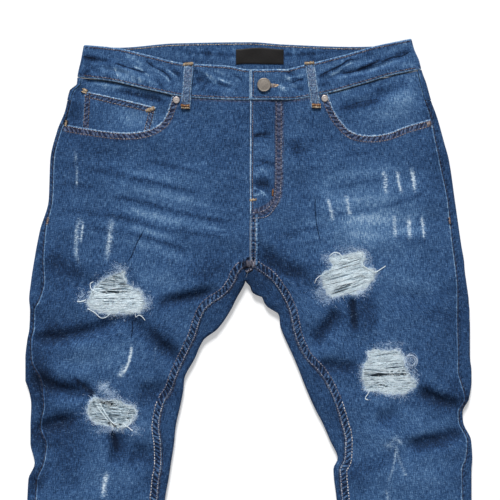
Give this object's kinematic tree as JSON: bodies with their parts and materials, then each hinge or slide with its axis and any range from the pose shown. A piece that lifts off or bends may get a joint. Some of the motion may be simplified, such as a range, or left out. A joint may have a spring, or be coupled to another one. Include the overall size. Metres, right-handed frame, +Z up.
{
  "type": "ripped jeans",
  "caption": "Slim five-pocket denim jeans with frayed rips at the thighs and knees, buttoned and lying flat, front up, hollow from the waist to both hems.",
  "frame": {"origin": "middle of the bounding box at floor level, under the laid garment", "axes": "+X to the wearer's left, +Y from the hems towards the waist, +Z up from the floor through the front"},
  "size_m": [0.654, 1.0761, 0.0215],
  "materials": {
    "denim": "washed mid-blue stretch denim twill, faded on the thighs",
    "facing_denim": "mid-blue denim, little worn",
    "white_threads": "bared off-white cotton weft threads",
    "button_metal": "antique plated, satin",
    "rivet_metal": "pale plated, satin",
    "label_satin": "black woven satin, blank"
  },
  "bodies": {
    "root": {"front_right": "denim", "front_left": "denim", "back_right": "denim", "back_right_outer_turn": "denim", "back_right_inner_turn": "denim", "back_left": "denim", "back_left_outer_turn": "denim", "back_left_inner_turn": "denim", "yoke_right": "denim", "yoke_right_outer_turn": "denim", "yoke_left": "denim", "yoke_left_outer_turn": "denim", "waistband": "denim", "pocket_facing_right": "facing_denim", "pocket_facing_left": "facing_denim", "coin_pocket": "facing_denim", "back_pocket_right": "denim", "back_pocket_left": "denim", "belt_loop_front_right": "denim", "belt_loop_front_left": "denim", "belt_loop_back_right": "denim", "belt_loop_back_centre": "denim", "belt_loop_back_left": "denim", "rip_threads_thigh_right": "white_threads", "rip_threads_knee_right": "white_threads", "rip_threads_thigh_left": "white_threads", "rip_threads_knee_left": "white_threads", "waist_button": "button_metal", "rivet_right": "rivet_metal", "rivet_left": "rivet_metal", "waist_label": "label_satin"}
  },
  "joints": []
}
